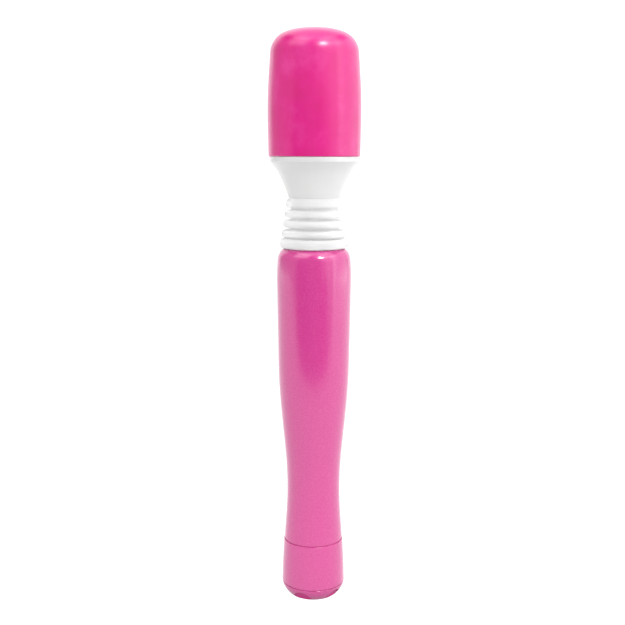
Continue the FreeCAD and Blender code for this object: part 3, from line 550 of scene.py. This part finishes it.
def threaded_collar():
    """The collar inside the end cap, with its outer thread."""
    outline = rounded([
        (6.6, 11.5), (9.45, 11.5), (9.45, 21.45), (8.25, 21.45), (8.25, 29.2, 0.2), (7.7, 29.2), (7.7, 13.3),
        (6.6, 13.3),
    ])
    bm = bmesh.new()
    add_turned(bm, outline)
    add_ridge(bm, 8.25, 9.0, 23.4, **THREAD)
    piece = link_mesh("threaded_collar", bm)
    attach(piece, "end_cap")
    return dress(piece, INNER["inner_plastic"], "inner_plastic", "cap_insert")


SEAL_RADIUS, SEAL_HEIGHT, SEAL_THICKNESS, SEAL_SIDES = 8.83, 22.2, 0.52, 24


def sealing_ring():
    """The rubber ring at the collar's foot."""
    section = []
    for k in range(SEAL_SIDES):
        angle = TURN * k / SEAL_SIDES
        spot = (SEAL_RADIUS + SEAL_THICKNESS * math.cos(angle), SEAL_HEIGHT + SEAL_THICKNESS * math.sin(angle))
        section.append(Vector(spot) * MM)
    piece = turned("sealing_ring", section)
    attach(piece, "seal")
    return dress(piece, INNER["black_rubber"], "black_rubber", "seal_ring")


# ---------------------------------------------------------------- dial

def outline_distance(points, r, z):
    """Distance from points (arrays r, z) to an open chain of outline points."""
    best = np.full(np.shape(r), 1e9)
    for start, end in zip(points, points[1:]):
        along = end - start
        length = max(along.length_squared, 1e-16)
        share = np.clip(((r - start.x) * along.x + (z - start.y) * along.y) / length, 0, 1)
        gap = np.hypot(r - start.x - share * along.x, z - start.y - share * along.y)
        best = np.minimum(best, gap)
    return best


def smooth_max(a, b, blend):
    """The larger of two distances, rounded where they meet."""
    mix = np.clip(0.5 - 0.5 * (b - a) / blend, 0, 1)
    return b + (a - b) * mix + blend * mix * (1 - mix)


SCALLOPS = 5
FIRST_LUG = math.radians(12.0)
SCALLOP_BACK, SCALLOP_RADIUS, SCALLOP_DROP = 9.0 * MM, 3.6 * MM, 0.15 * MM
SOFT_EDGE = 0.3 * MM
CARVED_FROM, CARVED_BELOW = 7.0 * MM, 4.4 * MM
DIAL_COLUMNS, INWARD_STEPS = 480, 64
DIAL_HEART = Vector((6.0, 3.9)) * MM
SOCKET_FLOOR = 1.6 * MM
# Depths in mm of the painted shade in the scallops: where it starts and how far it runs to full strength.
SHADE_MARK_START, SHADE_MARK_RUN = 0.04, 0.16


def scalloped(rim, inside, r, z, angle):
    """The rim's points at this angle, each drawn to the dial's heart until it is clear of the scallops."""
    share = np.linspace(0, 1, INWARD_STEPS)
    carved = (rim[:, 0] > CARVED_FROM) & (rim[:, 1] < CARVED_BELOW)
    pitch = TURN / SCALLOPS
    turn = (angle + math.pi / 2 - FIRST_LUG) % pitch - pitch / 2
    across = r * math.sin(turn)
    deep = r * math.cos(turn)
    hollow = np.maximum(np.hypot(across, z + SCALLOP_DROP) - SCALLOP_RADIUS, SCALLOP_BACK - deep)
    depth = smooth_max(inside, -hollow, SOFT_EDGE)
    out = np.where(carved[:, None], depth, inside) > -1e-9
    first = np.where(out.any(1), out.argmax(1), INWARD_STEPS - 1)
    before = np.maximum(first - 1, 0)
    rows = np.arange(len(rim))
    d0, d1 = depth[rows, before], depth[rows, first]
    part = np.where(carved & (first > 0), np.clip(-d0 / np.where(d1 == d0, 1, d1 - d0), 0, 1), 1)
    drawn = share[before] + (share[first] - share[before]) * part
    drawn = np.where(carved, drawn, 1.0)
    return DIAL_HEART.x + (rim[:, 0] - DIAL_HEART.x) * drawn, DIAL_HEART.y + (rim[:, 1] - DIAL_HEART.y) * drawn


def dial_body():
    """The dial: a rounded disc whose lower side is hollowed by finger scallops with soft edges."""
    outer = rounded([
        (0, 0), (8.96, 0, 1.12), (11.24, 2.43, 7.6), (11.79, 4.72, 0.2), (1.5, 4.72),
    ], run_step=0.15 * MM, closed=False)
    rim = np.array([tuple(p) for p in outer])
    share = np.linspace(0, 1, INWARD_STEPS)
    r = DIAL_HEART.x + (rim[:, None, 0] - DIAL_HEART.x) * share
    z = DIAL_HEART.y + (rim[:, None, 1] - DIAL_HEART.y) * share
    inside = -outline_distance(outer, r, z)
    bm = bmesh.new()
    # The "hollow" mark is a painted-shade mask: it grows with how far each point is cut into a scallop.
    hollowed = bm.verts.layers.float.new("hollow")
    columns = []
    for k in range(DIAL_COLUMNS):
        angle = TURN * k / DIAL_COLUMNS
        rr, zz = scalloped(rim, inside, r, z, angle)
        column = [bm.verts.new((a * math.cos(angle), a * math.sin(angle), b)) for a, b in zip(rr, zz)]
        for vert, moved in zip(column, np.hypot(rr - rim[:, 0], zz - rim[:, 1])):
            vert[hollowed] = min(1.0, max(0.0, moved / MM - SHADE_MARK_START) / SHADE_MARK_RUN)
        columns.append(column)
    rim_ring = [column[-1] for column in columns]
    floor_ring = [bm.verts.new((v.co.x, v.co.y, SOCKET_FLOOR)) for v in rim_ring]
    for k in range(DIAL_COLUMNS):
        after = (k + 1) % DIAL_COLUMNS
        here, there = columns[k], columns[after]
        for i in range(len(here) - 1):
            bm.faces.new((here[i], there[i], there[i + 1], here[i + 1]))
        bm.faces.new((rim_ring[k], rim_ring[after], floor_ring[after], floor_ring[k]))
    bm.faces.new(floor_ring)
    piece = link_mesh("dial_body", bm)
    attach(piece, "dial")
    return dress(piece, PAINT, "pearl_pink", "speed_dial")


# ---------------------------------------------------------------- stage, light and camera

WHITE_LEVEL = 1.25
ROOM_LEVEL = 0.02
FLOOR_GLOW = 1.25
# Painted shadow on the floor's glow round the foot: FOOT_GLOW of the glow within the first radius, rising to
# full glow at the second.
FOOT_SHADE = (8 * MM, 20 * MM)
FOOT_GLOW = 0.4
WALL_GLOW = 1.4
FLOOR_FRONT, WALL_BACK, STAGE_HALF, WALL_HEIGHT = -0.27, 1.3, 1.6, 1.8


# name, size, distance, azimuth, elevation, aimed height, power, seen in reflections
LIGHTS = [
    ("left_softbox", (1.15, 1.0), 0.8, -90, 14, 0.11, 2.0, True),
    ("right_softbox", (1.0, 1.0), 0.8, 92, 14, 0.11, 4.4, True),
    ("right_fill", (0.5, 0.9), 0.8, 56, 18, 0.12, 1.3, True),
    ("front_right_fill", (0.35, 0.8), 0.8, 34, 20, 0.12, 0.5, True),
    ("top_left_fill", (0.6, 0.5), 0.8, -50, 50, 0.15, 1.9, True),
    ("top_right_fill", (0.6, 0.5), 0.8, 60, 50, 0.15, 1.5, True),
    ("overhead", (1.3, 1.6), 1.1, 180, 86, 0.15, 8.5, True),
    ("key", (0.16, 0.14), 0.8, 24, 38, 0.15, 3.0, True),
    ("front_bounce", (0.6, 0.6), 0.8, 0, 8, 0.12, 1.75, False),
    ("left_bounce", (0.6, 0.6), 0.8, -40, 20, 0.12, 1.7, False),
]


def softbox(name, size, distance, azimuth, elevation, height, power, glossy):
    """A rectangular light facing the object: azimuth 0 is the main view's side, positive to its right."""
    a, e = math.radians(azimuth), math.radians(elevation)
    away = Vector((math.sin(a) * math.cos(e), -math.cos(a) * math.cos(e), math.sin(e)))
    light = bpy.data.lights.new(name, "AREA")
    light.shape = "RECTANGLE"
    light.size, light.size_y = size
    light.energy = power
    holder = bpy.data.objects.new(name, light)
    holder.location = Vector((0, 0, height)) + away * distance
    holder.rotation_mode = "QUATERNION"
    holder.rotation_quaternion = away.to_track_quat("Z", "Y")
    holder.visible_glossy = glossy
    bpy.context.scene.collection.objects.link(holder)


def lit_paper(name, corners, glow):
    """A flat sheet of glowing white paper, with a painted shadow that dims its glow under the object's foot.
    The camera sees it white.
    """
    made = Maker(name + "_paper", Roughness=1.0)
    made.shader.inputs["Base Color"].default_value = (0, 0, 0, 1)
    made.shader.inputs["Emission Color"].default_value = (1, 1, 1, 1)
    made.shader.inputs["Specular IOR Level"].default_value = 0.0
    # Painted shadow: the glow dims towards the foot for every ray but the camera's.
    distance = made.tree.nodes.new("ShaderNodeVectorMath")
    distance.operation = "LENGTH"
    made.tree.links.new(made.place, distance.inputs[0])
    shaded = made.remap(distance.outputs["Value"], FOOT_GLOW * glow, glow, *FOOT_SHADE)
    seen = made.tree.nodes.new("ShaderNodeMix")
    rays = made.tree.nodes.new("ShaderNodeLightPath")
    made.tree.links.new(rays.outputs["Is Camera Ray"], seen.inputs["Factor"])
    made.tree.links.new(shaded, seen.inputs["A"])
    seen.inputs["B"].default_value = WHITE_LEVEL
    made.feed("Emission Strength", seen.outputs["Result"])
    mesh = bpy.data.meshes.new(name)
    mesh.from_pydata(corners, [], [(0, 1, 2, 3)])
    mesh.materials.append(made.material)
    sheet = bpy.data.objects.new(name, mesh)
    bpy.context.scene.collection.objects.link(sheet)


def stage():
    """A pale glowing floor and wall, a dim room that the camera sees as white, and soft studio lights."""
    floor = -0.05 * MM
    lit_paper("floor", [(-STAGE_HALF, FLOOR_FRONT, floor), (STAGE_HALF, FLOOR_FRONT, floor),
                        (STAGE_HALF, WALL_BACK, floor), (-STAGE_HALF, WALL_BACK, floor)], FLOOR_GLOW)
    lit_paper("wall", [(-STAGE_HALF, WALL_BACK, floor), (STAGE_HALF, WALL_BACK, floor),
                       (STAGE_HALF, WALL_BACK, WALL_HEIGHT), (-STAGE_HALF, WALL_BACK, WALL_HEIGHT)],
              WALL_GLOW)
    world = bpy.data.worlds.new("room")
    world.use_nodes = True
    tree = world.node_tree
    rays = tree.nodes.new("ShaderNodeLightPath")
    level = tree.nodes.new("ShaderNodeMapRange")
    level.inputs["To Min"].default_value = ROOM_LEVEL
    level.inputs["To Max"].default_value = WHITE_LEVEL
    tree.links.new(rays.outputs["Is Camera Ray"], level.inputs["Value"])
    tree.links.new(level.outputs["Result"], tree.nodes["Background"].inputs["Strength"])
    tree.nodes["Background"].inputs["Color"].default_value = (1, 1, 1, 1)
    bpy.context.scene.world = world
    for light in LIGHTS:
        softbox(*light)


VIEW_FROM = (-0.00065, -0.3536, 0.1654)
VIEW_DOWN, VIEW_ROLL = 9.15, -0.147
SENSOR_WIDTH, FOCAL_LENGTH, CLIP_START = 36, 55.96, 0.01


def camera():
    """The main view: slightly above the middle of the wand, looking a little down."""
    lens = bpy.data.cameras.new("camera")
    lens.sensor_width = SENSOR_WIDTH
    lens.lens = FOCAL_LENGTH
    lens.clip_start = CLIP_START
    holder = bpy.data.objects.new("camera", lens)
    holder.location = VIEW_FROM
    holder.rotation_euler = (math.radians(90 - VIEW_DOWN), math.radians(VIEW_ROLL), 0)
    bpy.context.scene.collection.objects.link(holder)
    bpy.context.scene.camera = holder


bpy.context.scene.view_settings.view_transform = "Standard"
dress_cad_nodes()
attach(head_cover(), "head")
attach(neck_cone(), "head")
neck_sleeve()
neck_coil()
neck_leads()
handle_body()
end_cap_body()
threaded_collar()
sealing_ring()
dial_body()
stage()
camera()
